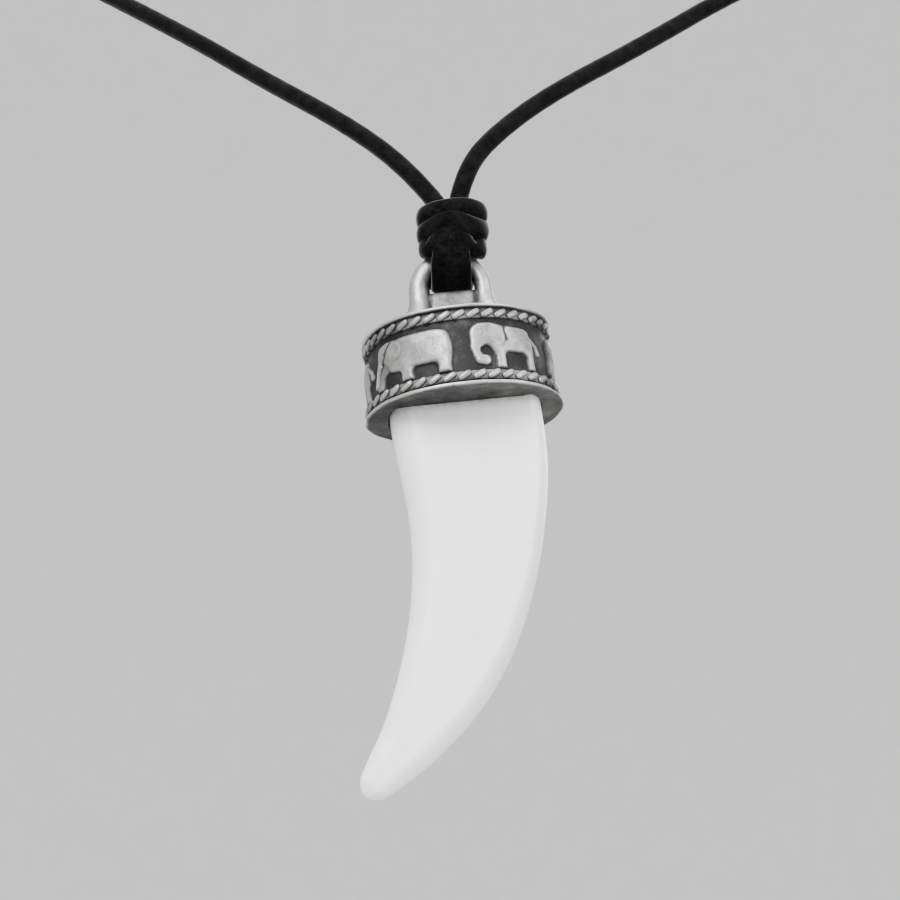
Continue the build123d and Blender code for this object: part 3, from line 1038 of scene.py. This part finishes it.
def make_bail():
    """Wire from the crown over the arch and back, thicker on the left and swelling into its feet."""
    legs = np.linspace(BAIL_BASE, -BAIL_ARCH_RADIUS, 24)[:-1]
    turns = np.linspace(math.pi, 0, 44)
    left_leg = [(-BAIL_ARCH_RADIUS, 0, height) for height in legs]
    arch = [(BAIL_ARCH_RADIUS * math.cos(turn), 0, BAIL_ARCH_RADIUS * (math.sin(turn) - 1)) for turn in turns]
    right_leg = [(BAIL_ARCH_RADIUS, 0, height) for height in legs[::-1]]
    route = np.array(left_leg + arch + right_leg)
    rightness = 0.5 + route[:, 0] / (2 * BAIL_ARCH_RADIUS)
    sink = np.clip((FOOT_TOP - route[:, 2]) / (FOOT_TOP - FOOT_BASE), 0, 1)
    radii = LEFT_LEG_RADIUS + rightness * (RIGHT_LEG_RADIUS - LEFT_LEG_RADIUS) + FOOT_SPREAD * sink**2
    points, faces = skin_over(tube_rings(route, radii, BAIL_SIDES))
    piece = new_piece("bail", moved_to_pendant(points), faces)
    across, _, height = points.T
    # Painted shade: the bail is darker on the side that faces its hole
    above_legs = np.maximum(height + BAIL_ARCH_RADIUS, 0)
    inwards = np.clip((BAIL_ARCH_RADIUS - np.hypot(across, above_legs)) / RIGHT_LEG_RADIUS, 0, 1)
    set_values(piece, "rubbed", BAIL_WEAR - BAIL_INNER_SHADE * inwards**1.3)
    return piece


# Rope borders, made by nodes

RING_INPUTS = [
    ("Geometry", "Geometry"),
    ("Copy", "Object"),
    ("Count", "Int"),
    ("Radius", "Float"),
    ("Slant", "Float"),
    ("Material", "Material"),
]
RING_NODES = [
    ("given", "NodeGroupInput"),
    ("result", "NodeGroupOutput"),
    ("circle", "GeometryNodeMeshCircle"),
    ("copy", "GeometryNodeObjectInfo"),
    ("index", "GeometryNodeInputIndex"),
    ("share", "ShaderNodeMath"),
    ("turn", "ShaderNodeMath"),
    ("angles", "ShaderNodeCombineXYZ"),
    ("place", "GeometryNodeInstanceOnPoints"),
    ("real", "GeometryNodeRealizeInstances"),
    ("paint", "GeometryNodeSetMaterial"),
]
RING_LINKS = [
    ("given", "Count", "circle", "Vertices"),
    ("given", "Radius", "circle", "Radius"),
    ("given", "Copy", "copy", "Object"),
    ("index", 0, "share", 0),
    ("given", "Count", "share", 1),
    ("share", 0, "turn", 0),
    ("given", "Slant", "angles", "X"),
    ("turn", 0, "angles", "Z"),
    ("circle", "Mesh", "place", "Points"),
    ("copy", "Geometry", "place", "Instance"),
    ("angles", 0, "place", "Rotation"),
    ("place", 0, "real", 0),
    ("real", 0, "paint", "Geometry"),
    ("given", "Material", "paint", "Material"),
    ("paint", 0, "result", 0),
]


def strand_bead():
    """One strand of a rope border, lying along Y with X outwards."""
    angles = np.linspace(0, 2 * math.pi, STRAND_SIDES, endpoint=False)
    rings = []
    for tilt in np.linspace(0, math.pi, STRAND_ROWS + 2)[1:-1]:
        reach = math.sin(tilt) ** STRAND_SQUARENESS
        end = -squared(math.cos(tilt), STRAND_SQUARENESS)
        ring = np.stack([reach * np.cos(angles), np.full_like(angles, end), reach * np.sin(angles)], axis=1)
        rings.append(ring * STRAND_SIZE)
    return new_piece("strand_bead", *skin_over(rings))


def ring_of_copies_tree():
    """Nodes that set copies of an object round a circle, slanted across their radius."""
    tree = bpy.data.node_groups.new("ring_of_copies", "GeometryNodeTree")
    face = tree.interface
    face.new_socket("Geometry", in_out="OUTPUT", socket_type="NodeSocketGeometry")
    for label, kind in RING_INPUTS:
        face.new_socket(label, in_out="INPUT", socket_type="NodeSocket" + kind)
    made = {label: tree.nodes.new(kind) for label, kind in RING_NODES}
    made["share"].operation = "DIVIDE"
    made["turn"].operation = "MULTIPLY"
    made["turn"].inputs[1].default_value = 2 * math.pi
    for source, output, target, entry in RING_LINKS:
        tree.links.new(made[source].outputs[output], made[target].inputs[entry])
    return tree


def ring_of_copies(tree, name, **values):
    """A plain mesh of copies round Z, made by the nodes."""
    holder = put_in_scene(name + "_holder", bpy.data.meshes.new(name + "_holder"))
    ring = holder.modifiers.new("ring", "NODES")
    ring.node_group = tree
    for item in tree.interface.items_tree:
        if item.name in values:
            ring[item.identifier] = values[item.name]
    mesh = finished_mesh(holder)
    mesh.name = name
    return put_in_scene(name, mesh)


def rope_border(tree, bead, number, height, material):
    """One rope border, carried to its height on the drum."""
    seat = drum_radius(height) - ROPE_SEAT_DEPTH
    sizes = {"Count": ROPE_STRANDS, "Radius": seat, "Slant": ROPE_SLANT}
    border = ring_of_copies(tree, "rope_border_" + str(number), Copy=bead, Material=material, **sizes)
    points = np.empty(len(border.data.vertices) * 3)
    border.data.vertices.foreach_get("co", points)
    points = points.reshape(-1, 3) + (0, 0, height)
    proud = (np.hypot(points[:, 0], points[:, 1]) - seat) / STRAND_SIZE[0]
    dulled = tarnish(np.arctan2(points[:, 1], points[:, 0]), points[:, 2])
    border.data.vertices.foreach_set("co", moved_to_pendant(hand_finished(points)).ravel())
    border.data.shade_smooth()
    set_values(border, "rubbed", np.clip(ROPE_WEAR * proud * dulled, 0, 1))
    return border


def make_cap(material):
    """The casting in one piece: crown, drum, elephants, rope borders and bail."""
    tree = ring_of_copies_tree()
    bead = strand_bead()
    borders = [rope_border(tree, bead, *place, material) for place in enumerate(ROPE_MIDDLES)]
    bpy.data.objects.remove(bead)
    cap = fused("cap_cast", [cap_body(), make_bail(), *borders])
    dress(cap, material, "cast_metal", "pendant", "cap")


# Knot

KNOT_MIDDLE = 0.35 * MM

# The wraps' half thickness and half height, and how much lower they are where one dips over the bail
WRAP_THROUGH = 0.72 * MM
WRAP_ALONG = 1.24 * MM
DIP_HEIGHT = 0.3 * MM
DIP_REACH = 0.5 * MM
DIP_NARROWING = 0.32
WRAP_ROWS = 420

# The strands in the bail are pressed square and spread sideways
PRESSED = 0.44
SPREAD = 1.31
LOOP_ROWS = 160

# How far the front strands go on into the knot, and back along themselves, a hair thinner
STUB_RADIUS = 0.93 * MM
STUB_INWARDS = 3.2 * MM
STUB_OUTWARDS = 0.4 * MM

# Where the knot's cord passes from its tucked start, as offsets from the bail's bar, in millimetres
KNOT_ROUTE = [
    (0.5, 0.9, 3.0), (-0.7, 1.6, 2.3), (-1.8, 1.2, 1.8),
    (-2.15, -0.1, 1.50), (-2.2, -1.3, 0.95), (-1.8, -2.2, 0.35), (-0.95, -2.6, 0.95),
    (0.25, -2.7, 1.75), (1.5, -2.6, 1.0), (2.45, -2.2, 0.32), (3.1, -1.3, 0.75),
    (3.1, 0.0, 1.6), (2.5, 1.5, 1.9), (1.1, 2.15, 2.2), (-0.4, 2.15, 2.6),
    (-1.8, 1.5, 2.95), (-2.4, 0.2, 2.95), (-2.35, -1.2, 2.45), (-1.6, -2.2, 2.50),
    (-0.5, -2.6, 3.0), (0.6, -2.65, 3.2), (1.9, -2.4, 2.80), (3.0, -1.3, 2.8),
    (3.4, 0.2, 3.3), (2.7, 1.6, 3.6), (1.2, 2.2, 3.9), (-0.4, 2.2, 4.3),
    (-1.8, 1.5, 4.6), (-2.5, 0.2, 4.5), (-2.3, -1.2, 4.25), (-1.4, -2.1, 4.3),
    (-0.2, -2.4, 4.45), (0.9, -2.35, 4.6), (2.1, -1.9, 4.75), (3.1, -0.8, 4.85),
    (3.2, 0.5, 5.15), (2.2, 1.5, 5.5), (0.7, 1.7, 5.75), (-0.4, 1.2, 5.5), (-0.6, 0.4, 4.9),
]

# The doubled strands: down inside the wraps, round the bar and up behind it. Each row has the left and the
# right strand's place across, then their place from front to back and their height, in millimetres.
LOOPS = [
    (-0.10, 0.80, -0.6, 2.9),
    (-0.14, 0.82, -1.3, 2.1),
    (-0.18, 0.84, -2.0, 1.15),
    (-0.24, 0.89, -2.45, 0.0),
    (-0.38, 1.02, -2.12, -1.22),
    (-0.36, 1.06, -1.22, -2.12),
    (-0.38, 1.12, 0.0, -2.45),
    (-0.38, 1.12, 1.22, -2.12),
    (-0.78, 1.30, 2.12, -1.22),
    (-0.95, 1.34, 2.45, 0.0),
    (-1.02, 1.32, 2.1, 1.2),
    (-1.00, 1.25, 1.5, 2.1),
    (-0.90, 1.05, 0.8, 2.9),
]

# The fill inside the wraps: height and radius, in millimetres
KNOT_CORE = [(2.2, 0.9), (2.8, 1.7), (3.6, 2.0), (4.6, 1.9), (5.3, 1.4), (5.7, 0.6)]


def wrap_rings(route, sides):
    """Rings of a cord that is pressed flat against the knot's core, and narrower where it dips."""
    along = directions_along(route)
    outwards = route - np.array(HINGE)
    outwards[:, 2] = 0
    outwards -= along * (outwards * along).sum(axis=1)[:, None]
    outwards /= np.linalg.norm(outwards, axis=1)[:, None]
    upwards = np.cross(along, outwards)
    heights = route[:, 2] - HINGE.z
    half_heights = WRAP_ALONG * (1 - DIP_NARROWING * bell(heights - DIP_HEIGHT, DIP_REACH))
    angles = np.linspace(0, 2 * math.pi, sides, endpoint=False)[None, :, None]
    through = WRAP_THROUGH * np.cos(angles) * outwards[:, None, :]
    return route[:, None, :] + through + half_heights[:, None, None] * np.sin(angles) * upwards[:, None, :]


def knot_wraps():
    """The cord that is wound round the doubled strands."""
    route = smooth_columns(KNOT_ROUTE, WRAP_ROWS) * MM + np.array(HINGE)
    points, faces = skin_over(wrap_rings(route, CORD_SIDES))
    return new_piece("knot_wraps", points, faces, wrap_uvs(route, CORD_SIDES, faces))


def loop_strand(side):
    """The left or right strand that goes down in front of the bail's bar, under it and up behind."""
    route = smooth_columns(LOOPS, LOOP_ROWS)[:, [side, 2, 3]] * MM + np.array(HINGE)
    return tube_piece("loop_strand", route, np.full(len(route), CORD_RADIUS), CORD_SIDES, PRESSED, SPREAD)


def strand_stub(points):
    """The stretch of a neck strand that goes down into the knot."""
    strand = strand_route(points)
    outwards = (strand[1] - strand[0]).normalized()
    stations = np.linspace(-STUB_INWARDS, STUB_OUTWARDS, 12)
    route = [tuple(strand[0] + outwards * station) for station in stations]
    return tube_piece("strand_stub", np.array(route), np.full(len(route), STUB_RADIUS))


def knot_core():
    """Fill between the strands and the wraps."""
    profile = smooth_columns(KNOT_CORE, 24) * MM
    route = [(HINGE.x + KNOT_MIDDLE, HINGE.y, HINGE.z + height) for height in profile[:, 0]]
    return tube_piece("knot_core", np.array(route), profile[:, 1])


def make_knot(material):
    """The whole knot in one piece, with the strands that it leaves through the bail's hole."""
    strands = [loop_strand(side) for side in (0, 1)]
    strands += [strand_stub(points) for points in (LEFT_STRAND, RIGHT_STRAND)]
    knot = fused("knot_waxed", [knot_wraps(), knot_core(), *strands])
    dress(knot, material, "cord", "necklace", "front_knot")


# Clasp

CLASP_Y = 2.5 * MM

# Left half of the barrel, from its bore to the middle groove: place along it and radius, in millimetres
CLASP_HALF = [
    (-6.5, 1.0), (-6.5, 1.45), (-6.3, 1.72), (-6.0, 1.8),
    (-4.95, 2.4), (-4.8, 2.48), (-4.6, 2.5),
    (-0.42, 2.5), (-0.30, 2.42), (-0.27, 2.26),
]


def make_clasp(material):
    """A turned barrel with collars and a middle groove, its bores shut by the cord."""
    profile = CLASP_HALF + [(-place, radius) for place, radius in reversed(CLASP_HALF)]
    angles = np.linspace(0, 2 * math.pi, 72, endpoint=False)
    rings = [np.roll(ring_points(radius, place, angles), 1, axis=1) for place, radius in profile]
    points, faces = skin_over(np.array(rings) * MM)
    piece = new_piece("clasp_turned", points + np.array((0, CLASP_Y, 0)), faces)
    dress(piece, material, "clasp_metal", "necklace", "nape_clasp")


# Studio

FLOOR = -0.9
COVE_RADIUS = 2.5
COVE_BEND = 0.8
COVE_TOP = 3.2


def make_studio(material):
    """A round pale cove, open above, with its floor well below the hanging pendant."""
    flat = COVE_RADIUS - COVE_BEND
    profile = [(0.001, FLOOR), (1.2, FLOOR), (flat, FLOOR)]
    for turn in np.linspace(0.15, math.pi / 2, 14):
        profile.append((flat + COVE_BEND * math.sin(turn), FLOOR + COVE_BEND * (1 - math.cos(turn))))
    profile.append((COVE_RADIUS, COVE_TOP))
    angles = np.linspace(0, 2 * math.pi, 96, endpoint=False)
    rings = [ring_points(radius, height, angles) for radius, height in profile]
    cove = new_piece("cove", *skin_over(rings, close_end=False))
    cove.data.materials.append(material)


def add_softbox(name, place, size, power):
    """A square light that faces the pendant."""
    data = bpy.data.lights.new(name, "AREA")
    data.shape = "SQUARE"
    data.size = size
    data.energy = power
    light = put_in_scene(name, data)
    light.location = place
    light.rotation_euler = (HINGE - light.location).to_track_quat("-Z", "Y").to_euler()


def light_studio():
    """Four soft lights and a pale sky."""
    add_softbox("key", (-0.45, -1.15, 0.55), 0.7, 40)
    add_softbox("fill", (1.0, -0.8, 0.1), 0.9, 18)
    add_softbox("top", (0.1, -0.2, 1.2), 0.9, 22)
    add_softbox("back", (0.6, 1.25, 0.7), 0.8, 12)
    world = bpy.data.worlds.new("studio")
    bpy.context.scene.world = world
    world.use_nodes = True
    sky = world.node_tree.nodes["Background"]
    sky.inputs["Color"].default_value = (1.0, 1.0, 1.0, 1.0)
    sky.inputs["Strength"].default_value = 1.7


place_camera()
cord_material = waxed_cotton()
make_cords(cord_material)
make_tooth(polished_bone())
make_cap(cast_metal())
make_knot(cord_material)
make_clasp(clasp_metal())
make_studio(studio_paper())
light_studio()
